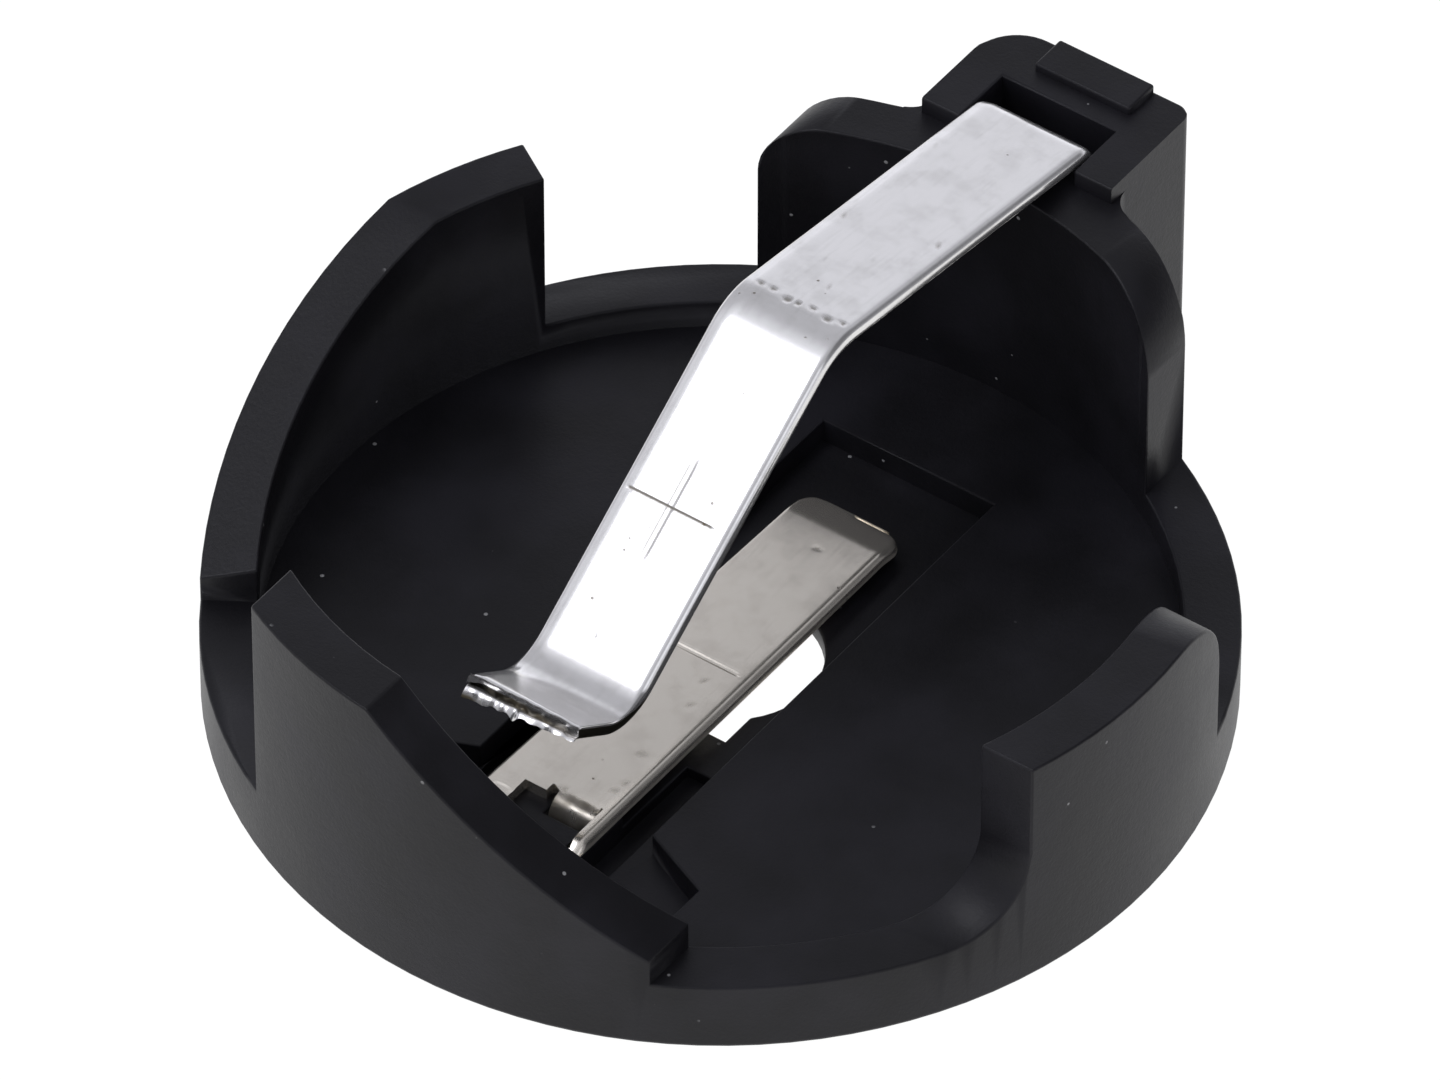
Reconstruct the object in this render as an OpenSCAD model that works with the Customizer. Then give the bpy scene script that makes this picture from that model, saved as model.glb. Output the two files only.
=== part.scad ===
// Through-hole holder for one coin cell: a moulded housing and two stamped
// spring contacts. Origin at the centre of the housing's underside, +Z up,
// +Y towards the tower that carries the positive contact.

/* [Coin cell] */
// Diameter of the coin cell
cell_d = 20; // [19:0.5:24]
// Gap between the cell's edge and the walls
cell_gap = 0.3; // [0.1:0.05:0.6]

/* [Base] */
// Thickness of the walls and of the rim
wall_t = 1.3; // [0.9:0.1:1.8]
// Height of the rim above the underside
rim_h = 1.9; // [1.6:0.1:2.6]
// Height of the pocket's floor above the underside
floor_t = 1.15; // [1:0.05:1.4]
// Thickness of the floor left under the negative contact
channel_floor_t = 0.5; // [0.3:0.05:0.6]
// Width of the channel under the negative contact
channel_w = 4.7; // [4:0.1:5.6]
// Gap between the negative contact's free end and the channel's end
channel_end_gap = 2; // [0.5:0.05:3]
// Width of the channel beside the front wall
channel_mouth_w = 8.4; // [7:0.2:9.6]
// Radius of the hole in the floor
hole_r = 2.1; // [1.8:0.05:2.3]
// Distance of the hole behind the middle
hole_y = 0.4; // [0:0.05:0.8]
// Width of the slot that runs forwards from the hole
hole_slot_w = 3.1; // [2:0.1:3.4]
// Distance from the middle to the front end of that slot
hole_slot_end = 1.95; // [1.7:0.05:2.6]
// Bevel on the underside's outer edge
foot_bevel = 0.12; // [0.05:0.01:0.3]

/* [Walls] */
// Height of the rear wall
rear_h = 7.4; // [6:0.1:7.5]
// Width of the rear wall, seen from the front
rear_w = 10.76; // [10:0.1:13]
// Radius of the rear wall's left corner
rear_left_r = 1.4; // [0.5:0.1:2.4]
// Radius of the rear wall's right corner
rear_right_r = 2; // [0.5:0.1:2.4]
// Height of the two side walls
side_h = 6.4; // [5:0.1:7]
// Angle from the middle to the left wall's rear end
left_rear_a = 31.5; // [25:0.5:35]
// Angle from the middle to the left wall's front end
left_front_a = 33.2; // [25:0.2:36]
// Distance from the middle to the top of the left wall's slope
left_slope_top = 2.8; // [2:0.1:4]
// Slope of the left wall's top, in degrees
left_slope_a = 22.8; // [12:0.2:24]
// Distance from the middle to the right wall's front end
right_front = 3.65; // [3:0.05:5]
// Distance from the middle to the right wall's rear end
right_rear = 3.45; // [3:0.05:5]
// Corner radius of the right wall's rear end
right_corner_r = 2.3; // [0.4:0.1:2.6]
// Fillet between the right wall's front end and the rim
right_fillet_r = 2; // [0.5:0.1:2.4]
// Height of the front wall
front_h = 7.55; // [6.6:0.05:8]
// Distance from the middle to the front wall's left end
front_left = 5.07; // [4:0.05:6]
// Distance from the middle to the front wall's right end
front_right = 5.5; // [4:0.05:5.6]
// Distance from the middle to the top of the front wall's slope
front_slope_top = 1.1; // [0.8:0.1:2]
// Slope of the front wall's top, in degrees
front_slope_a = 36.9; // [20:0.5:37]

/* [Tower] */
// Height of the tower above the rear wall
tower_rise = 0.45; // [0.3:0.05:0.8]
// Width of the tower
tower_w = 5.2; // [4.6:0.1:7]
// Thickness of the tower behind its slot
tower_back_t = 1.55; // [1.1:0.05:2]
// Radius of the tower's left rear corner
tower_left_r = 1.2; // [0.3:0.1:1.6]
// Radius of the tower's right rear corner
tower_right_r = 0.4; // [0.2:0.1:1.6]
// Radius where the tower meets the rear wall
tower_fillet_r = 0.7; // [0.3:0.1:1]
// Thickness of the sill between the rear wall and the tower's slot
slot_sill = 0.3; // [0.25:0.05:0.6]
// Length of the slot in the tower's top, front to back
slot_l = 1.05; // [0.8:0.05:1.5]
// Height of the raised pad behind the slot
pad_h = 0.22; // [0.1:0.02:0.4]
// Width of the raised pad
pad_w = 2.6; // [1.5:0.1:3.4]
// Distance between the slot and the raised pad
pad_gap = 0.55; // [0.1:0.05:0.8]
// Distance of the raised pad from the tower's middle
pad_shift = 0.22; // [0:0.02:0.6]

/* [Contacts] */
// Thickness of the spring sheet
sheet_t = 0.3; // [0.2:0.05:0.35]
// Width of the positive contact
plus_w = 3; // [2.4:0.1:3.4]
// Width of the negative contact's free end
minus_w = 2.7; // [2.4:0.1:3]
// How much further the negative contact's left edge lies at its front end
minus_flare = 0.35; // [0:0.05:0.5]
// Gap between the contacts' legs and the housing
leg_gap = 0.06; // [0.03:0.01:0.12]
// Height of the positive contact's upper bend above the tower
plus_rise = 1.34; // [0.9:0.02:2]
// Distance from the middle to the upper bend
plus_high_y = 2.3; // [1.5:0.1:4]
// Height of the positive contact's lower bend
plus_low = 3.7; // [3:0.05:5]
// Distance from the middle to the lower bend
plus_low_y = 5.45; // [4.5:0.05:5.6]
// Rise of the positive contact's tip
tip_rise = 1.33; // [0.5:0.01:1.6]
// Length of the positive contact's tip, along the floor
tip_l = 1.95; // [1.5:0.05:2.4]
// Radius of the positive contact's upper bend, at the middle of the sheet
high_bend_r = 1.8; // [0.5:0.1:2]
// Radius of its lower bend
low_bend_r = 1.4; // [0.5:0.1:1.6]
// Radius of the bend at the negative contact's free end
lip_bend_r = 0.8; // [0.5:0.05:1]
// Distance from the middle to the negative contact's free end
minus_rear = 5.2; // [3.5:0.05:5.5]
// Length of the negative contact's turned-down end
lip_l = 0.8; // [0.5:0.05:1.2]
// Drop of the negative contact's turned-down end
lip_drop = 0.14; // [0.1:0.02:0.24]
// Distance from the middle to the negative contact's front end
minus_front = 7.3; // [7:0.05:7.8]
// Distance from the middle to the negative solder pin
minus_pin_y = 6.2; // [5.8:0.05:6.4]
// Distance of the negative solder pin from the contact's middle
minus_pin_x = 0.45; // [0.3:0.05:0.5]
// Gap in the negative contact to the left of its pin
window_gap = 0.57; // [0.3:0.01:0.6]
// Width of the solder pins
pin_w = 1.1; // [0.8:0.05:1.2]
// Length of the solder pins below the underside
pin_l = 3.3; // [2.5:0.1:5]
// Depth of the stamped polarity marks
mark_depth = 0.06; // [0.04:0.01:0.12]
// Width of the lines of the polarity marks
mark_line = 0.18; // [0.12:0.02:0.4]
// Length of the lines of the plus
plus_mark_l = 2.3; // [1:0.1:2.4]
// Distance of the plus from the lower bend, along the contact
plus_mark_up = 4.65; // [2.5:0.05:6]
// Length of the minus
minus_mark_l = 1.9; // [1:0.1:2.2]
// Distance from the middle to the minus
minus_mark_y = 0.62; // [-1:0.02:2]

/* [Hidden] */
$fn = 96;

housing_colour = [0.13, 0.13, 0.14];
contact_colour = [0.8, 0.79, 0.77];

pocket_r = cell_d / 2 + cell_gap;
base_r = pocket_r + wall_t;
tower_h = rear_h + tower_rise;
slot_y = base_r + slot_sill;
slot_back = slot_y + slot_l;
tower_back = slot_back + tower_back_t;
slot_w = plus_w + 2 * leg_gap;
reach = tower_back + 5;                   // further than anything here
walls_from = rim_h / 2;                   // walls start inside the rim

plus_leg_y = slot_y + leg_gap + sheet_t / 2;
plus_leg_bend_r = 0.45;
plus_leg_top = tower_h - leg_gap;
plus_high = tower_h + plus_rise;
run_a = atan2(plus_high - plus_low, plus_high_y + plus_low_y);

minus_z = floor_t - sheet_t / 2;          // the sheet's middle, flush with the floor
minus_bend_r = 0.4;
minus_left = -minus_w / 2 - minus_flare;
pin_slot_w = pin_w + 2 * leg_gap;
window_rear = minus_bend_r - minus_pin_y; // where the negative pin's bend starts
window_step = 0.25;                       // the gap to its left ends this far ahead of it

channel_rear = minus_rear + channel_end_gap;
channel_front_gap = 0.5;                  // between the sheet and the channel's front
channel_front = minus_front + channel_front_gap;
mouth_y = minus_front - 0.7;              // where the channel is widest
mouth_a = 23;                             // how its sides open out, in degrees
seat_l = 1.8;                             // the ledge that holds the negative contact
side_pocket_w = 0.6;                      // deep pockets beside the negative contact
side_pocket_rear = 3.1;
side_pocket_floor_t = 0.2;

plus_path = rounded([
    [plus_leg_y, -pin_l], [plus_leg_y, plus_leg_top], [plus_high_y, plus_high],
    [-plus_low_y, plus_low], [-plus_low_y - tip_l, plus_low + tip_rise]
], [plus_leg_bend_r, high_bend_r, low_bend_r]);
minus_path = rounded([
    [minus_rear, minus_z - lip_drop], [minus_rear - lip_l, minus_z], [-minus_front, minus_z]
], [lip_bend_r]);
minus_pin_path = rounded([
    [window_rear + sheet_t, minus_z], [-minus_pin_y, minus_z], [-minus_pin_y, -pin_l]
], [minus_bend_r]);

// ---- outlines ----

function unit(v) = v / norm(v);

// The arc of radius r that rounds the corner b between a and c
function bend(a, b, c, r) =
    let (
        to_a = unit(a - b), to_c = unit(c - b),
        half = acos(to_a * to_c) / 2,
        middle = b + unit(to_a + to_c) * r / sin(half),
        start = b + to_a * r / tan(half) - middle,
        turn = (to_a.x * to_c.y - to_a.y * to_c.x > 0 ? -1 : 1) * (180 - 2 * half),
        steps = 8
    )
    [for (i = [0 : steps]) let (t = turn * i / steps)
        middle + [start.x * cos(t) - start.y * sin(t), start.x * sin(t) + start.y * cos(t)]];

// A path through points, with each inner corner rounded to its radius
function rounded(points, radii) =
    concat(
        [points[0]],
        [for (i = [1 : len(points) - 2])
            each bend(points[i - 1], points[i], points[i + 1], radii[i - 1])],
        [points[len(points) - 1]]
    );

// The path's points moved sideways by d
function beside(path, d) =
    [for (i = [0 : len(path) - 1])
        let (
            before = path[max(i - 1, 0)], after = path[min(i + 1, len(path) - 1)],
            way = unit(after - before)
        )
        path[i] + d * [-way.y, way.x]];

// A sheet bent along a path in the Y-Z plane
module strip(path, width) {
    side_a = beside(path, sheet_t / 2);
    side_b = beside(path, -sheet_t / 2);
    along(-width / 2, width / 2)
        polygon(concat(side_a, [for (i = [len(side_b) - 1 : -1 : 0]) side_b[i]]));
}

// An outline in the X-Z plane, made solid between two values of Y
module across(from, to) {
    translate([0, to, 0]) rotate([90, 0, 0]) linear_extrude(height = to - from) children();
}

// An outline in the Y-Z plane, made solid between two values of X
module along(from, to) {
    translate([from, 0, 0]) rotate([90, 0, 90]) linear_extrude(height = to - from) children();
}

// What a rounded corner leaves out of a square one, up and to the right
module corner_cut(x, y, r) {
    difference() {
        translate([x - r, y - r]) square([r + 1, r + 1]);
        translate([x - r, y - r]) circle(r = r);
    }
}

// ---- housing ----

module wall_ring(height) {
    difference() {
        translate([0, 0, walls_from]) cylinder(r = base_r, h = height - walls_from);
        cylinder(r = pocket_r, h = height + 1);
    }
}

module rear_wall() {
    intersection() {
        wall_ring(rear_h);
        across(0, reach) difference() {
            translate([-rear_w / 2, 0]) square([rear_w, rear_h]);
            corner_cut(rear_w / 2, rear_h, rear_right_r);
            mirror([1, 0]) corner_cut(rear_w / 2, rear_h, rear_left_r);
        }
    }
}

module left_wall() {
    intersection() {
        wall_ring(side_h);
        linear_extrude(height = side_h) polygon([
            [0, 0],
            [-reach, reach * tan(left_rear_a)],
            [-reach, -reach * tan(left_front_a)]
        ]);
        along(-reach, 0) difference() {
            translate([-reach, 0]) square([2 * reach, side_h]);
            translate([left_slope_top, side_h]) rotate(left_slope_a)
                translate([-3 * reach, 0]) square([3 * reach, 2 * side_h]);
        }
    }
}

module right_wall() {
    intersection() {
        wall_ring(side_h);
        along(0, reach) difference() {
            union() {
                translate([-right_front, 0]) square([right_front + right_rear, side_h]);
                translate([-right_front - right_fillet_r, 0])
                    square([right_fillet_r + 1, rim_h + right_fillet_r]);
            }
            corner_cut(right_rear, side_h, right_corner_r);
            translate([-right_front - right_fillet_r, rim_h + right_fillet_r])
                circle(r = right_fillet_r);
        }
    }
}

module front_wall() {
    intersection() {
        wall_ring(front_h);
        across(-reach, 0) difference() {
            translate([-front_left, 0]) square([front_left + front_right, front_h]);
            translate([-front_slope_top, front_h]) rotate(-front_slope_a)
                square([3 * reach, 2 * front_h]);
        }
    }
}

module tower_outline() {
    foot_y = base_r - wall_t / 2;
    fillet_x = tower_w / 2 + tower_fillet_r;
    fillet_y = sqrt(pow(base_r + tower_fillet_r, 2) - pow(fillet_x, 2));
    foot_half = fillet_x * base_r / (base_r + tower_fillet_r);  // where the fillet meets the wall
    difference() {
        union() {
            translate([-tower_w / 2, foot_y]) square([tower_w, tower_back - foot_y]);
            translate([-foot_half, foot_y]) square([2 * foot_half, fillet_y - foot_y]);
        }
        corner_cut(tower_w / 2, tower_back, tower_right_r);
        mirror([1, 0]) corner_cut(tower_w / 2, tower_back, tower_left_r);
        for (side = [-1, 1])
            translate([side * fillet_x, fillet_y]) circle(r = tower_fillet_r);
    }
}

module tower() {
    pad_y = slot_back + pad_gap;
    linear_extrude(height = rear_h) tower_outline();
    intersection() {
        linear_extrude(height = tower_h) tower_outline();
        translate([-tower_w / 2, base_r - wall_t / 4, 0])
            cube([tower_w, reach, tower_h]);
    }
    translate([pad_shift - pad_w / 2, pad_y, rear_h])
        cube([pad_w, tower_back - pad_y, tower_h - rear_h + pad_h]);
}

module base() {
    cylinder(r1 = base_r - foot_bevel, r2 = base_r, h = foot_bevel);
    translate([0, 0, foot_bevel]) cylinder(r = base_r, h = rim_h - foot_bevel);
}

// The channel under the negative contact, wider beside the front wall
module channel_outline() {
    opening_l = (channel_mouth_w - channel_w) / 2 * tan(mouth_a);
    polygon([
        [-channel_w / 2, channel_rear],
        [channel_w / 2, channel_rear],
        [channel_w / 2, -mouth_y + opening_l],
        [channel_mouth_w / 2, -mouth_y],
        [channel_mouth_w / 2, -channel_front],
        [-channel_mouth_w / 2, -channel_front],
        [-channel_mouth_w / 2, -mouth_y],
        [-channel_w / 2, -mouth_y + opening_l]
    ]);
}

module channel() {
    difference() {
        translate([0, 0, channel_floor_t])
            linear_extrude(height = rim_h) channel_outline();
        translate([minus_left, -minus_front, 0])
            cube([minus_w / 2 - minus_left, seat_l, floor_t - sheet_t]);
    }
    for (x = [minus_left - side_pocket_w, minus_w / 2])
        translate([x, -minus_front, side_pocket_floor_t])
            cube([side_pocket_w, minus_front - side_pocket_rear, rim_h]);
}

module floor_hole() {
    translate([0, hole_y, -1]) cylinder(r = hole_r, h = rim_h + 1);
    translate([-hole_slot_w / 2, -hole_slot_end, -1])
        cube([hole_slot_w, hole_slot_end + hole_y, rim_h + 1]);
}

module leg_slots() {
    pin_slot_front = -minus_pin_y - sheet_t / 2 - leg_gap;
    translate([-slot_w / 2, slot_y, -1]) cube([slot_w, slot_l, reach]);
    translate([-slot_w / 2, base_r - wall_t / 2, rear_h])
        cube([slot_w, slot_sill + wall_t, reach]);
    translate([minus_pin_x - pin_slot_w / 2, pin_slot_front, -1])
        cube([pin_slot_w, window_rear + leg_gap - pin_slot_front, rim_h + 1]);
}

module housing() {
    color(housing_colour) difference() {
        union() {
            difference() {
                base();
                translate([0, 0, floor_t]) cylinder(r = pocket_r, h = rim_h);
                channel();
                floor_hole();
            }
            rear_wall();
            left_wall();
            right_wall();
            front_wall();
            tower();
        }
        leg_slots();
    }
}

// ---- contacts ----

// Both sides of the positive contact's leg, so that only its pin is left
module beside_pin() {
    for (side = [-1, 1])
        translate([side * (pin_w + plus_w) / 2, plus_leg_y, -pin_l])
            cube([plus_w, 2 * sheet_t, 2 * pin_l + 2], center = true);
}

// A line pressed into the upper face of a sheet whose middle is at z = 0
module mark(length) {
    translate([0, 0, sheet_t / 2]) cube([length, mark_line, 2 * mark_depth], center = true);
}

module positive_contact() {
    color(contact_colour) difference() {
        strip(plus_path, plus_w);
        beside_pin();
        translate([0, -plus_low_y, plus_low]) rotate([run_a, 0, 0]) translate([0, plus_mark_up, 0])
            for (turn = [0, 90]) rotate(turn) mark(plus_mark_l);
    }
}

// The negative contact seen from above, without its pin
module negative_outline() {
    pin_left = minus_pin_x - pin_w / 2;
    difference() {
        polygon([
            [-minus_w / 2, minus_rear + 1],
            [minus_w / 2, minus_rear + 1],
            [minus_w / 2, -minus_front],
            [minus_left, -minus_front],
            [minus_left, -minus_pin_y]
        ]);
        translate([pin_left - leg_gap, -reach]) square([pin_slot_w, reach + window_rear]);
        translate([pin_left - window_gap, -reach])
            square([window_gap, reach + window_rear - window_step]);
    }
}

module negative_contact() {
    color(contact_colour) difference() {
        union() {
            intersection() {
                strip(minus_path, 2 * minus_w);
                linear_extrude(height = rim_h) negative_outline();
            }
            translate([minus_pin_x, 0, 0]) strip(minus_pin_path, pin_w);
        }
        translate([0, -minus_mark_y, minus_z]) mark(minus_mark_l);
    }
}

housing();
positive_contact();
negative_contact();
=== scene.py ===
import math
import random

import bmesh
import bpy
from mathutils import Matrix, Vector, noise


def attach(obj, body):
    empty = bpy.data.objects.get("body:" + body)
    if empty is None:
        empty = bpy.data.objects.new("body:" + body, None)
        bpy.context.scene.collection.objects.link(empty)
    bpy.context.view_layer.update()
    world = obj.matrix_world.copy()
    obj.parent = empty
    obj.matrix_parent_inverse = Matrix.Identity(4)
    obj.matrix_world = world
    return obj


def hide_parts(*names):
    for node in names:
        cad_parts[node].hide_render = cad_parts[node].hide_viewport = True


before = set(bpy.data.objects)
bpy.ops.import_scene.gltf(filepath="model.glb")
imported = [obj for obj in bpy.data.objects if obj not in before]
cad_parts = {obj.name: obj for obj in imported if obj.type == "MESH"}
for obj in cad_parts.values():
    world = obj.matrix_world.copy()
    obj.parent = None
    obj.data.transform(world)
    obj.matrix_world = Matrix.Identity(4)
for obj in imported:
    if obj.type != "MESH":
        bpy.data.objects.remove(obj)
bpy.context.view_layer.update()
print("frame loaded:", sorted(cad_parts))

mm = 0.001
touch = 1e-3                 # mm, places closer than this are the same


# a node socket that takes part in plain expressions
class Wire:
    def __init__(self, tree, out=None):
        self.tree = tree
        self.out = out

    # any node: its type, then its settings, then the values or links of its sockets
    def make(self, kind, settings=None, sockets=None, out=0):
        node = self.tree.nodes.new(kind)
        for name, value in (settings or {}).items():
            setattr(node, name, value)
        for name, value in (sockets or {}).items():
            socket = node.inputs[name]
            if isinstance(value, Wire):
                self.tree.links.new(value.out, socket)
            else:
                socket.default_value = value
        return Wire(self.tree, node.outputs[out]) if node.outputs else None

    def math(self, operation, *values):
        return self.make("ShaderNodeMath", {"operation": operation}, dict(enumerate(values)))

    def __add__(self, other): return self.math("ADD", self, other)
    def __radd__(self, other): return self.math("ADD", other, self)
    def __sub__(self, other): return self.math("SUBTRACT", self, other)
    def __rsub__(self, other): return self.math("SUBTRACT", other, self)
    def __mul__(self, other): return self.math("MULTIPLY", self, other)

    # 0 below low, 1 above high, smooth between
    def step(self, low, high):
        return self.make("ShaderNodeMapRange", {"interpolation_type": "SMOOTHSTEP"},
                         {"Value": self, "From Min": low, "From Max": high})

    def blend(self, first, second):
        return self.make("ShaderNodeMix", {"data_type": "RGBA"}, {0: self, 6: first, 7: second}, out=2)

    def noise(self, scale, detail=2.0, rough=0.5):
        return self.make("ShaderNodeTexNoise", None,
                         {"Vector": self, "Scale": scale, "Detail": detail, "Roughness": rough})

    def cells(self, scale):
        return self.make("ShaderNodeTexVoronoi", None, {"Vector": self, "Scale": scale}, out="Distance")

    def stretched(self, x, y, z):
        return self.make("ShaderNodeMapping", None, {"Vector": self, "Scale": (x, y, z)})

    def bump(self, strength, distance):
        return self.make("ShaderNodeBump", None,
                         {"Strength": strength, "Distance": distance, "Height": self})


def newMaterial(name):
    material = bpy.data.materials.new(name)
    material.use_nodes = True
    tree = material.node_tree
    tree.nodes.clear()
    return material, Wire(tree)


def finishMaterial(start, sockets):
    shader = start.make("ShaderNodeBsdfPrincipled", None, sockets)
    start.make("ShaderNodeOutputMaterial", None, {"Surface": shader})


def mouldedNylon():
    look = {
        "dark": (0.006, 0.0057, 0.0072, 1),
        "worn": (0.0125, 0.012, 0.0155, 1),
        "dust": (0.3, 0.3, 0.3, 1),
        "cloudScale": 0.35,      # scales are in features per mm
        "grainScale": 11.0,
        "rippleScale": 2.2,
        "dustScale": 1.1,
        "dustSize": 0.062,       # mm
        "roughness": 0.42,
        "ior": 1.31,
        "relief": 0.016 * mm,
    }
    material, start = newMaterial("moulded_nylon")
    place = start.make("ShaderNodeTexCoord", out="Object").stretched(1000, 1000, 1000)
    cloud = place.noise(look["cloudScale"], 3.0)
    grain = place.noise(look["grainScale"], 3.0, 0.65)
    ripple = place.noise(look["rippleScale"], 2.0)
    chosen = place.noise(0.9, 0.0).step(0.52, 0.62)
    dust = (look["dustSize"] - place.cells(look["dustScale"])).step(0.0, 0.02) * chosen
    colour = cloud.step(0.35, 0.75).blend(look["dark"], look["worn"])
    colour = (dust * 0.8).blend(colour, look["dust"])
    rough = look["roughness"] + (cloud - 0.5) * 0.16 + (grain - 0.5) * 0.12 + dust * 0.3
    height = grain * 0.7 + ripple * 0.6 + dust * 0.8
    finishMaterial(start, {
        "Base Color": colour, "Roughness": rough, "IOR": look["ior"],
        "Normal": height.bump(0.55, look["relief"]),
    })
    return material


# the negative contact's plating has yellowed a little more than the other's
def nickelSheet(name, bright, grey):
    look = {
        # the first colour serves both dirt and painted shade, the second is near-black painted shade for
        # hollows
        "soilAndShade": (0.13, 0.11, 0.075, 1),
        "paintedShade": (0.022, 0.022, 0.017, 1),
        "blotchScale": 1.1,
        "streakStretch": (9, 0.7, 1),
        "pitScale": 2.1,
        "pitSize": 0.1,
        "roughness": 0.22,
        "tornRoughness": 0.4,
        "metallic": 0.88,
        "relief": 0.012 * mm,
    }
    material, start = newMaterial(name)
    flat = start.make("ShaderNodeUVMap", {"uv_map": "flat"})
    blotch = flat.noise(look["blotchScale"], 4.0, 0.6)
    streak = flat.stretched(*look["streakStretch"]).noise(1.0, 3.0)
    chosen = flat.noise(0.8, 1.0).step(0.5, 0.6)
    pits = (look["pitSize"] - flat.cells(look["pitScale"])).step(0.0, 0.05) * chosen
    # the per-point soil amount holds dirt and painted shade: painted shade in marks, torn hollows and the
    # pin's bend
    soilAndShadeFac = start.make("ShaderNodeAttribute", {"attribute_name": "soilAndShade"}, out="Fac")
    torn = start.make("ShaderNodeAttribute", {"attribute_name": "torn"}, out="Fac")
    colour = (blotch.step(0.42, 0.72) * 0.55 + streak.step(0.5, 0.8) * 0.25).blend(bright, grey)
    dirtAndShade = start.math("MINIMUM", soilAndShadeFac + pits * 0.75, 1.0)
    colour = dirtAndShade.blend(colour, look["soilAndShade"])
    # amounts above 1 blend to near-black painted shade
    colour = (soilAndShadeFac - 1.0).step(0.0, 1.0).blend(colour, look["paintedShade"])
    rough = look["roughness"] + (blotch - 0.5) * 0.16 + (streak - 0.5) * 0.1
    rough = rough + dirtAndShade * 0.25 + torn * look["tornRoughness"]
    height = streak * 0.3 + blotch * 0.5 - pits * 1.2
    finishMaterial(start, {
        "Base Color": colour, "Metallic": look["metallic"], "Roughness": rough,
        "Normal": height.bump(0.3, look["relief"]),
    })
    return material


def newPiece(name, bm, material, node):
    bmesh.ops.scale(bm, vec=(mm, mm, mm), verts=bm.verts)
    mesh = bpy.data.meshes.new(name)
    bm.to_mesh(mesh)
    bm.free()
    mesh.materials.append(material)
    piece = bpy.data.objects.new(name, mesh)
    bpy.context.scene.collection.objects.link(piece)
    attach(piece, "root")
    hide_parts(node)
    return piece


def smoothShade(piece, angle):
    for face in piece.data.polygons:
        face.use_smooth = True
    piece.data.set_sharp_from_angle(angle=math.radians(angle))


housingLook = {
    "edgeRound": 0.06,       # mm, rounding of the moulded edges
    "edgeSteps": 2,
    "sharpFrom": 24,         # degrees between faces: these edges are rounded
    "flatTo": 0.5,           # these faces become one
    "smoothTo": 40,
    "weld": 0.0008,          # mm
    "sliver": {"fromX": 2.5, "toX": 3.2, "fromY": 11.1, "fromZ": 7},
}


# the thin crescents of wall top that run out beside the tower are too narrow to round
def besideTower(edge):
    s = housingLook["sliver"]
    return all(s["fromX"] < abs(v.co.x) < s["toX"] and v.co.y > s["fromY"] and v.co.z > s["fromZ"]
               for v in edge.verts)


def makeHousing(material):
    look = housingLook
    bm = bmesh.new()
    bm.from_mesh(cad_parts["housing"].data)
    bmesh.ops.scale(bm, vec=(1 / mm, 1 / mm, 1 / mm), verts=bm.verts)
    bmesh.ops.remove_doubles(bm, verts=bm.verts, dist=look["weld"])
    bmesh.ops.dissolve_limit(bm, angle_limit=math.radians(look["flatTo"]), use_dissolve_boundaries=False,
                             verts=bm.verts, edges=bm.edges, delimit=set())
    sharp = [e for e in bm.edges if e.is_convex and not besideTower(e)
             and e.calc_face_angle(0) > math.radians(look["sharpFrom"])]
    print("housing: edges to round", len(sharp), "of", len(bm.edges))
    bmesh.ops.bevel(bm, geom=sharp, affect="EDGES", offset=look["edgeRound"],
                    offset_type="OFFSET", segments=look["edgeSteps"], profile=0.5,
                    clamp_overlap=False, loop_slide=True, material=-1)
    piece = newPiece("housing_moulding", bm, material, "housing")
    smoothShade(piece, look["smoothTo"])
    weighted = piece.modifiers.new("flat faces stay flat", "WEIGHTED_NORMAL")
    weighted.keep_sharp = True
    weighted.weight = 100
    return piece


# where a flat sheet's length lies once bent: straight stretches joined by round bends
class BentPath:
    def __init__(self, corners, radii):
        self.parts = []
        self.length = 0
        here = Vector(corners[0])
        for i, radius in enumerate(radii):
            corner, after = Vector(corners[i + 1]), Vector(corners[i + 2])
            way, onward = (corner - here).normalized(), (after - corner).normalized()
            turn = math.atan2(way.x * onward.y - way.y * onward.x, way.dot(onward))
            back = radius * math.tan(abs(turn) / 2)
            start = corner - way * back
            self.addPart((start - here).length, here, way, 0)
            self.addPart(radius * abs(turn), start, way, turn)
            here = corner + onward * back
        last = Vector(corners[-1])
        self.addPart((last - here).length, here, (last - here).normalized(), 0)

    def addPart(self, length, start, way, turn):
        self.parts.append((self.length, length, start, way, turn))
        self.length += length

    # the middle of the sheet and its outward normal at a length from the start
    def at(self, s):
        for begin, length, start, way, turn in self.parts:
            if s <= begin + length:
                break
        u = s - begin
        if turn == 0:
            return start + way * u, Vector((way.y, -way.x))
        radius = length / abs(turn)
        side = Vector((-way.y, way.x)) * math.copysign(1, turn)
        a = u / radius
        point = start + way * radius * math.sin(a) + side * radius * (1 - math.cos(a))
        now = way * math.cos(a) + side * math.sin(a)
        return point, Vector((now.y, -now.x))


# evenly spaced places from low to high, about a step apart
def cuts(low, high, stepSize):
    count = max(1, round((high - low) / stepSize))
    return [low + (high - low) * i / count for i in range(count + 1)]


# the places in order, without those that lie too close to the one before
def tidyCuts(places, apart=0.012):
    kept = []
    for place in sorted(places):
        if not kept or place - kept[-1] > apart:
            kept.append(place)
    return kept


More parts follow.
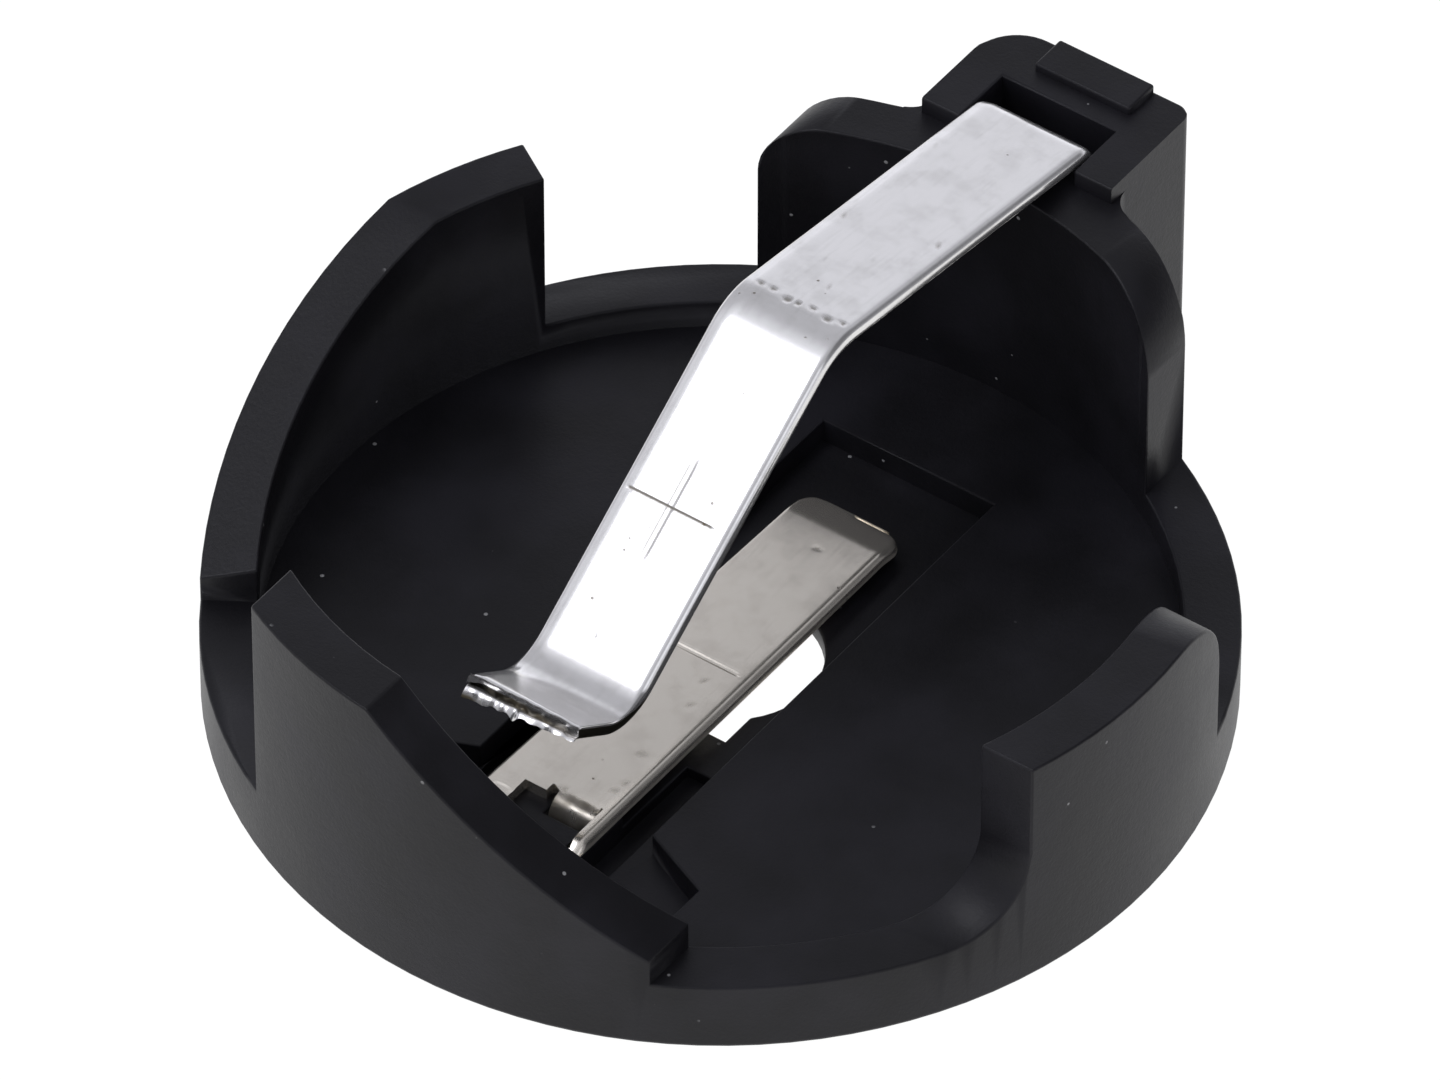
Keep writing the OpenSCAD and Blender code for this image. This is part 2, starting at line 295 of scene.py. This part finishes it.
# a flat plate, cut across at every place given: x runs across it, s along it
# and h through its thickness
def flatPlate(columns, rows, levels):
    bm = bmesh.new()
    bmesh.ops.create_cube(bm, size=1)
    spans = [(p[0], p[-1]) for p in (columns, rows, levels)]
    for v in bm.verts:
        v.co = Vector([span[v.co[i] > 0] for i, span in enumerate(spans)])
    for axis, places in ((1, rows), (0, columns), (2, levels)):
        way = Vector([axis == i for i in range(3)])
        for place in places[1:-1]:
            bmesh.ops.bisect_plane(bm, geom=bm.verts[:] + bm.edges[:] + bm.faces[:], dist=1e-5,
                                   plane_co=way * place, plane_no=way)
    return bm


# faces of the plate's end at length s, between two columns, pushed out step by step
def pushEnd(bm, s, left, right, steps):
    def inRange(face):
        c = face.calc_center_median()
        return abs(c.y - s) < touch and left - touch < c.x < right + touch
    faces = [f for f in bm.faces if abs(f.normal.y) > 0.999 and inRange(f)]
    for step in steps:
        out = bmesh.ops.extrude_face_region(bm, geom=faces)
        bmesh.ops.delete(bm, geom=faces, context="FACES_ONLY")
        moved = [g for g in out["geom"] if isinstance(g, bmesh.types.BMVert)]
        bmesh.ops.translate(bm, verts=moved, vec=(0, step, 0))
        faces = [g for g in out["geom"] if isinstance(g, bmesh.types.BMFace)]


# mm
sheet = {
    "thick": 0.3,
    "levels": [-0.15, -0.12, -0.08, -0.03, 0.03, 0.08, 0.12, 0.15],
    "bandWide": 0.36,        # the band that slopes down along an edge
    "bandSoft": 0.06,
    "edgeColumns": [0, 0.02, 0.05, 0.085, 0.13, 0.185, 0.25, 0.33, 0.43, 0.55, 0.66],
    "smoothTo": 50,          # degrees
}


# columns close together along both cut edges and wider apart between them
def columnsAcross(half, stepSize):
    near = sheet["edgeColumns"]
    middle = cuts(-half + near[-1], half - near[-1], stepSize)
    return [side * (half - d) for side in (-1, 1) for d in near] + middle


# how far the upper face falls at a distance from a cut edge: edge gives the
# radius that the punch has drawn down and the slope of the band beside it
def edgeFall(d, edge):
    roll, slope = edge
    near = min(1, max(0, 1 - d / roll))
    band = max(0, sheet["bandWide"] - d)
    soft = min(1, band / sheet["bandSoft"])
    return roll * (1 - math.sqrt(1 - near * near)) + slope * (band - sheet["bandSoft"] / 2) * soft


# a sheared side: drawn in above, torn below
def shearSide(v, x, s, h, edge):
    top = sheet["thick"] / 2
    low = 2 * top - edgeFall(0, edge)
    torn = max(0, (-0.02 - h) / 0.13)
    v.co.z = -top + (h + top) / (2 * top) * low
    ragged = 0.02 * noise.noise(Vector((x, s * 6, h * 9)))
    v.co.x += math.copysign(1, x) * torn * (ragged - 0.035)
    if h < -top + touch:
        v.co.z -= 0.02 * max(0, noise.noise(Vector((x, s * 4, 5))))


# a line pressed in with a blunt chisel: a groove between two low ridges
def grooveHeight(d, halfWidth, deep):
    t = d / halfWidth
    if t < 1:
        return -deep * (1 - t * t)
    return 0.22 * deep * max(0, 1 - abs(t - 1.35) / 0.35)


# distance of a place from a straight line between two others
def toSegment(x, s, x0, s0, x1, s1):
    along = Vector((x1 - x0, s1 - s0))
    t = min(1, max(0, Vector((x - x0, s - s0)).dot(along) / along.length_squared))
    return math.hypot(x - x0 - along.x * t, s - s0 - along.y * t)


def startPlaces(bm):
    bm.verts.index_update()
    return [v.co.copy() for v in bm.verts]


# the finished sheet: start holds where each point lay before the sheet was shaped
def bentPiece(name, bm, start, soilAndShade, material, node, bend):
    layer = bm.loops.layers.uv.new("flat")
    for face in bm.faces:
        for loop in face.loops:
            co = loop.vert.co
            loop[layer].uv = (co.x + co.z, co.y)
    # each point's amount of dirt and painted shade, kept as an attribute
    soilAndShadeLayer = bm.verts.layers.float.new("soilAndShade")
    for v in bm.verts:
        v[soilAndShadeLayer] = soilAndShade(start[v.index])
        v.co = bend(v.co)
    bmesh.ops.recalc_face_normals(bm, faces=bm.faces)
    piece = newPiece(name, bm, material, node)
    smoothShade(piece, sheet["smoothTo"])
    return piece


# mm; an edge is its rolled radius and the slope of its band
plus = {
    "width": 3.0, "legY": 12.11, "legTop": 7.79, "legBend": 0.45,
    "highY": 2.3, "high": 9.187, "highBend": 1.8, "lowY": 5.45, "low": 3.7, "lowBend": 1.4,
    "tipLong": 1.95, "tipRise": 1.33, "tipRoll": 0.1, "tipRollLeft": 0.16, "tipSlope": 0.03,
    "tearDeep": 0.45, "tearBack": 0.07, "tearRagged": 0.12, "tearWavy": 0.03,
    "hollow": 0.05, "hollowLeft": 0.2, "droop": 0.04, "droopLeft": 0.22, "burr": 0.14,
    "pinWide": 1.1, "pinLong": 3.3, "pinFrom": 1.0,
    "leftEdge": (0.09, 0.2), "rightEdge": (0.2, 0.03), "tipEdge": (0.05, 0.02),
    "markUp": 4.65, "markX": -0.14, "markLong": 2.3, "markHalfWide": 0.075, "markDeep": 0.018,
    "rowPits": 7, "rowFrom": -1.05, "rowStep": 0.36, "upperPits": 16, "lowerPits": 6, "pitMargin": 0.2,
}


def makePlusContact(material):
    p = plus
    path = BentPath(
        [(p["legY"], -p["pinLong"]), (p["legY"], p["legTop"]), (p["highY"], p["high"]),
         (-p["lowY"], p["low"]), (-p["lowY"] - p["tipLong"], p["low"] + p["tipRise"])],
        [p["legBend"], p["highBend"], p["lowBend"]])
    slotBend, upper, highBend, lower, lowBend = path.parts[1:-1]
    pinEnd = p["pinLong"] + p["pinFrom"]
    half = p["width"] / 2
    runTop, runEnd = lower[0], lower[0] + lower[1]
    tipEnd = path.length
    backToCorner = p["lowBend"] * math.tan(abs(lowBend[4]) / 2)
    markS = runEnd - (p["markUp"] - backToCorner)
    markX, markHalf = p["markX"], p["markLong"] / 2

    # rows lie closest where the sheet bends, is marked or is torn
    rows = cuts(pinEnd, slotBend[0] - 0.3, 2.2)
    rows += cuts(slotBend[0] - 0.3, upper[0] + 0.2, 0.07)
    rows += cuts(upper[0] + 0.2, highBend[0] - 0.7, 0.16)
    rows += cuts(highBend[0] - 0.7, lower[0] + 0.4, 0.055)
    rows += cuts(lower[0] + 0.4, runEnd - 0.5, 0.14)
    rows += cuts(markS - 0.2, markS + 0.2, 0.022)
    rows += cuts(runEnd - 0.5, tipEnd - 0.5, 0.06)
    rows += cuts(tipEnd - 0.5, tipEnd, 0.035)
    columns = columnsAcross(half, 0.075) + cuts(markX - 0.2, markX + 0.2, 0.022)
    columns += [-p["pinWide"] / 2, p["pinWide"] / 2]
    bm = flatPlate(tidyCuts(columns), tidyCuts(rows), sheet["levels"])
    pinHalf = p["pinWide"] / 2 + 0.01
    pushEnd(bm, pinEnd, -pinHalf, pinHalf, [-1.0, -1.6, -1.4, -0.3])

    rng = random.Random(4)
    reach = half - p["pitMargin"]
    # x, s, radius and depth of each pit, first those in the row before the upper bend
    pits = [(p["rowFrom"] + p["rowStep"] * i + rng.uniform(-0.07, 0.07),
             highBend[0] + 0.08 + rng.uniform(-0.07, 0.07), rng.uniform(0.07, 0.15), 0.035)
            for i in range(p["rowPits"])]
    pits += [(rng.uniform(-reach, reach), rng.uniform(upper[0], highBend[0]), rng.uniform(0.04, 0.08), 0.02)
             for i in range(p["upperPits"])]
    pits += [(rng.uniform(-reach, reach), rng.uniform(runTop, runEnd), rng.uniform(0.04, 0.07), 0.015)
             for i in range(p["lowerPits"])]

    # the chisel's line across the sheet is cut steeply on its upper side, and that steep wall gets painted
    # shade;
    # gives the line's height and its painted shade
    def markAcross(x, s):
        if abs(x - markX) > markHalf:
            return 0, 0
        t = (s - markS) / p["markHalfWide"]
        line = min(1, 1.3 * max(0, 1 - abs(t + 0.7) / 0.75))
        ease = max(0, min(1, (1 - t) / 1.6)) if t > -0.6 else max(0, min(1, (t + 1) / 0.4))
        return -p["markDeep"] * ease, 0.85 * line

    # for each pit that covers a place: its depth, and how near its middle the place is
    def inPits(x, s):
        for px, ps, radius, deep in pits:
            d = math.hypot(x - px, (s - ps) * 1.3) / radius
            if d < 1:
                yield deep, 1 - d * d

    top = sheet["thick"] / 2

    # the end was torn off: its face is hollow and burrs hang from its lower edge
    def tear(v, x, h, end):
        pull = (1 - end / p["tearDeep"]) ** 2
        left = (half - x) / p["width"]
        ragged = noise.noise(Vector((x * 1.9, 3.1, h * 3))) + 0.6 * noise.noise(Vector((x * 5.2, 7, h * 9)))
        hollow = max(0, 1 - abs(h + 0.08) / 0.08)
        ragged *= min(1, max(0, (0.08 - h) / 0.1))
        v.co.y += pull * (p["tearRagged"] * ragged - p["tearBack"])
        v.co.y -= pull ** 3 * hollow * (p["hollow"] + p["hollowLeft"] * left)
        v.co.z += pull * p["tearWavy"] * noise.noise(Vector((x * 4.4, 1.7, 0.4)))
        if h < -0.05:
            burr = max(0, noise.noise(Vector((x * 3.7, 9, 2))) + 0.3)
            droop = p["droop"] + p["droopLeft"] * left + p["burr"] * burr
            v.co.z -= pull ** 4 * droop * (-h / top)

    start = startPlaces(bm)
    for v in bm.verts:
        x, s, h = v.co
        if s < pinEnd - touch:
            continue
        side = half - abs(x)
        end = tipEnd - s
        edge = p["leftEdge"]
        if x > 0:                             # the right edge is sharper on the tip
            onTip = max(0, min(1, (s - runEnd - 0.2) / 0.7))
            edge = [a + (b - a) * onTip for a, b in zip(p["rightEdge"], p["tipEdge"])]
        if h > top - touch:
            v.co.z -= edgeFall(side, edge)
            tipRoll = p["tipRoll"] + p["tipRollLeft"] * (half - x) / p["width"]
            v.co.z -= edgeFall(max(end, 0.02), (tipRoll, p["tipSlope"]))
            v.co.z += markAcross(x, s)[0]
            v.co.z += grooveHeight(toSegment(x, s, markX, markS - markHalf, markX, markS + markHalf),
                                   p["markHalfWide"] * 1.3, p["markDeep"] * 0.75)
            v.co.z -= sum(deep * amount for deep, amount in inPits(x, s))
        if side < touch:
            shearSide(v, x, s, h, edge)
        if end < p["tearDeep"]:
            tear(v, x, h, end)

    def bend(flat):
        point, normal = path.at(flat.y)
        return Vector((flat.x, point.x + normal.x * flat.z, point.y + normal.y * flat.z))

    # dirt in the pits; painted shade in the marks, on the right side and in the hollows of the torn tip;
    # above 1 it is black
    def soilAndShade(start):
        x, s, h = start
        amount = 0.0
        if h > top - touch:
            amount = max([0.75 * a if deep > 0.03 else 0.45 * a for deep, a in inPits(x, s)], default=0)
            # the lengthwise arm gets two thin lines of painted shade beside its groove
            along = toSegment(x, s, markX, markS - markHalf, markX, markS + markHalf)
            amount = max(amount, markAcross(x, s)[1], 0.55 * max(0, 1 - abs(along - 0.065) / 0.035))
        # the right side face is darkened a little, and painted shade turns it black over the tip
        if x > half - touch and h < top - touch:
            amount = 0.12 + 1.6 * max(0, min(1, (s - runEnd) / 0.5))
        # painted shade in the torn face's hollows, darkest low down and to the left, lighter on the burrs
        # and in patches
        if s > tipEnd - touch and h < 0.1:
            left = (half - x) / p["width"]
            low = max(0, min(1, (0.05 - h) / 0.1))
            burr = max(0, min(1, (-0.09 - h) / 0.05)) * max(0, min(1, (1 - left) * 5))
            amount = 0.12 + low * (0.45 + 1.6 * left * (1 - burr)) - 0.5 * burr
            amount -= low * 0.9 * max(0, noise.noise(Vector((x * 3.1, h * 5, 6))))
        return max(0, amount)

    return bentPiece("positive_spring", bm, start, soilAndShade, material, "positive_contact", bend)


# mm; an edge as above
minus = {
    "wide": 2.7, "flare": 0.35, "rear": 5.2, "front": 7.3,
    "lipLong": 0.8, "lipDrop": 0.14, "bend": 0.8,
    "pinX": 0.45, "pinY": 6.2, "pinWide": 1.1, "pinLong": 3.3, "pinBend": 0.4, "pinGap": 0.06,
    "windowGap": 0.57, "windowStep": 0.25, "z": 1.0, "cornerRound": 0.45,
    "ringX": -0.92, "ringY": -6.78, "ringR": 0.38, "ringHalfWide": 0.07, "ringDeep": 0.02,
    "leftEdge": (0.09, 0.03), "rightEdge": (0.2, 0.05), "frontBevel": 0.45, "frontSlope": 0.55,
    "markY": -0.62, "markLong": 1.9, "markHalfWide": 0.07, "markDeep": 0.025,
    "pits": 18, "pitMargin": 0.15,
}


def makeMinusContact(material):
    p = minus
    half, markHalf = p["wide"] / 2, p["markLong"] / 2
    windowRear = p["pinBend"] - p["pinY"]
    pinLeft, pinRight = p["pinX"] - p["pinWide"] / 2, p["pinX"] + p["pinWide"] / 2
    windowLeft, windowRight = pinLeft - p["windowGap"], pinRight + p["pinGap"]
    lip = BentPath(
        [(windowRear, p["z"]), (p["rear"] - p["lipLong"], p["z"]), (p["rear"], p["z"] - p["lipDrop"])],
        [p["bend"]])
    pinPath = BentPath([(windowRear + 1, p["z"]), (-p["pinY"], p["z"]), (-p["pinY"], -p["pinLong"])],
                       [p["pinBend"]])
    rear = windowRear + lip.length

    rows = cuts(windowRear, -0.9, 0.16) + cuts(p["markY"] - 0.2, p["markY"] + 0.2, 0.022)
    rows += cuts(-0.3, 3.4, 0.16) + cuts(3.4, rear, 0.06)
    columns = columnsAcross(half, 0.1)
    columns += [windowLeft, pinLeft - p["pinGap"], pinLeft, pinRight, windowRight]
    columns = tidyCuts(columns, 0.009)
    bm = flatPlate(columns, tidyCuts(rows), sheet["levels"])
    torn = bm.verts.layers.float.new("torn")
    # the sheet runs on to the front at both sides of the pin's window, whose left part starts a step later
    pushEnd(bm, windowRear, -half, pinLeft - p["pinGap"], [-p["windowStep"]])
    pushEnd(bm, windowRear - p["windowStep"], -half, windowLeft, [-0.05] * 25)
    pushEnd(bm, windowRear, windowRight, half, [-0.1] * 15)
    pinSteps = [-0.07] * 9 + [-1.2] * 2       # short ones round the bend, then down the pin
    pinSteps += [-(pinPath.length - 1 + sum(pinSteps) - 0.3), -0.3]
    pushEnd(bm, windowRear, pinLeft, pinRight, pinSteps)

    bm.normal_update()
    top = sheet["thick"] / 2

    def onPin(x, y):
        return y < windowRear - touch and pinLeft - touch < x < pinRight + touch

    pinVerts = set(v for v in bm.verts if onPin(v.co.x, v.co.y))
    rng = random.Random(9)
    reach = half - p["pitMargin"]
    pits = [(rng.uniform(-reach, reach), rng.uniform(-6, 4.5), rng.uniform(0.04, 0.09), 0.02)
            for i in range(p["pits"])]
    start = startPlaces(bm)
    for v in bm.verts:
        if v in pinVerts:
            continue
        x, y, h = v.co
        side = half - abs(x)
        end = rear - y
        edge = p["leftEdge"] if x < 0 else p["rightEdge"]
        if h > top - touch:
            v.co.z -= edgeFall(side, edge) + 0.5 * edgeFall(max(end, 0.02), edge)
            if x > windowRight - touch:        # the narrow leg thins towards its front end
                v.co.z -= p["frontSlope"] * max(0, p["frontBevel"] - p["front"] - y)
            ring = abs(math.hypot(x - p["ringX"], y - p["ringY"]) - p["ringR"])
            v.co.z += grooveHeight(ring, p["ringHalfWide"], p["ringDeep"])
            mark = toSegment(x, y, -markHalf, p["markY"], markHalf, p["markY"])
            v.co.z += grooveHeight(mark, p["markHalfWide"], p["markDeep"])
            for px, py, radius, deep in pits:
                d = math.hypot(x - px, y - py)
                if d < radius:
                    v.co.z -= deep * (1 - (d / radius) ** 2)
        if side < touch:
            shearSide(v, x, y, h, edge)
            v[torn] = 1
        if end < p["cornerRound"]:            # the free end's rounded corners
            r = p["cornerRound"]
            v.co.x *= 1 - (r - math.sqrt(max(0, r * r - (r - end) ** 2))) / half
        leftSide = max(0, min(1, (p["rear"] - y) / (p["rear"] + p["pinY"])))
        v.co.x -= p["flare"] * leftSide * max(0, (half - x) / p["wide"])

    def bend(flat):
        y = flat.y
        if onPin(flat.x, y):
            point, normal = pinPath.at(windowRear - y + 1)
            return Vector((flat.x, point.x + normal.x * flat.z, point.y + normal.y * flat.z))
        if y < windowRear:
            return Vector((flat.x, y, p["z"] + flat.z))
        point, normal = lip.at(y - windowRear)
        return Vector((flat.x, point.x - normal.x * flat.z, point.y - normal.y * flat.z))

    def soilAndShade(start):
        x, y, h = start
        # the pin's bend is darkened in patches: a painted dark reflection with glints left between
        if onPin(x, y):
            return min(1, max(0, 0.55 + 0.9 * noise.noise(Vector((x * 3, y * 3, 2)))))
        if x > half - touch and h < top - touch:
            return 0.1
        near = [math.hypot(x - px, y - py) / radius for px, py, radius, deep in pits]
        return 0.5 * max(0, 1 - min(near) ** 2) if h > 0 else 0

    return bentPiece("negative_spring", bm, start, soilAndShade, material, "negative_contact", bend)


studio = {
    "floorZ": -3.3 * mm,
    "floorSize": 1.4,
    "floorGrey": 0.05,
    "floorGlow": 1.0,
    "horizon": 0.95,
    "upper": 0.52,
    "tint": (0.97, 0.98, 1.06, 1),
    # towards the light, degrees to its inner and outer border, strength
    "shade": ((0.75, 0.5, 0.5), 18, 42, 0.75),
    "panels": {
        "key": ((-0.32, -0.40, 0.80), 11, 13, 4.5),
        "halo": ((-0.32, -0.40, 0.80), 13, 42, 0.42),
        "fill": ((-0.42, 0.85, 0.31), 14, 22, 0.36),
        "side": ((0.82, -0.27, 0.50), 8, 16, 0.7),
    },
}


def makeFloor():
    bm = bmesh.new()
    bmesh.ops.create_grid(bm, x_segments=1, y_segments=1, size=studio["floorSize"] / 2,
                          matrix=Matrix.Translation((0, 0, studio["floorZ"])))
    mesh = bpy.data.meshes.new("floor")
    bm.to_mesh(mesh)
    bm.free()
    floor = bpy.data.objects.new("floor", mesh)
    bpy.context.scene.collection.objects.link(floor)
    material, start = newMaterial("pale_floor")
    finishMaterial(start, {"Base Color": (*[studio["floorGrey"]] * 3, 1), "Roughness": 0.9,
                           "Emission Color": (1, 1, 1, 1), "Emission Strength": studio["floorGlow"]})
    mesh.materials.append(material)


def makeWorld():
    world = bpy.data.worlds.new("studio")
    world.use_nodes = True
    world.node_tree.nodes.clear()
    start = Wire(world.node_tree)
    way = start.make("ShaderNodeTexCoord", out="Generated")
    height = start.make("ShaderNodeSeparateXYZ", None, {"Vector": way}, out="Z")

    def panel(direction, inner, outer, strength):
        toPanel = start.make("ShaderNodeVectorMath", {"operation": "DOT_PRODUCT"},
                             {0: way, 1: Vector(direction).normalized()}, out="Value")
        return toPanel.step(math.cos(math.radians(outer)), math.cos(math.radians(inner))) * strength

    light = studio["upper"] + (1 - height.step(0.12, 0.42)) * (studio["horizon"] - studio["upper"])
    light = light * (1 - panel(*studio["shade"]))
    for settings in studio["panels"].values():
        light = light + panel(*settings)
    shade = start.make("ShaderNodeBackground", None, {"Color": studio["tint"], "Strength": light})
    start.make("ShaderNodeOutputWorld", None, {"Surface": shade})
    bpy.context.scene.world = world


shot = {
    "lens": 419.1,
    "place": (0.15748, -0.21677, 0.26123),
    "forward": (-0.42424, 0.58392, -0.69214),
    "up": (-0.40683, 0.55995, 0.72176),
}


def makeCamera():
    bpy.context.scene.view_settings.view_transform = "Standard"
    data = bpy.data.cameras.new("camera")
    data.sensor_width = 36
    data.lens = shot["lens"]
    data.clip_start = 0.01
    camera = bpy.data.objects.new("camera", data)
    forward = Vector(shot["forward"]).normalized()
    right = forward.cross(Vector(shot["up"])).normalized()
    turn = Matrix((right, right.cross(forward), -forward)).transposed()
    camera.matrix_world = Matrix.Translation(shot["place"]) @ turn.to_4x4()
    bpy.context.scene.collection.objects.link(camera)
    bpy.context.scene.camera = camera


nylon = mouldedNylon()
plusNickel = nickelSheet("nickel_bright", (0.785, 0.775, 0.765, 1), (0.63, 0.62, 0.605, 1))
minusNickel = nickelSheet("nickel_yellowed", (0.85, 0.8, 0.71, 1), (0.69, 0.645, 0.57, 1))
print("materials made")
makeHousing(nylon)
print("housing made")
makePlusContact(plusNickel)
makeMinusContact(minusNickel)
print("contacts made")
makeFloor()
makeWorld()
makeCamera()
print("studio made")
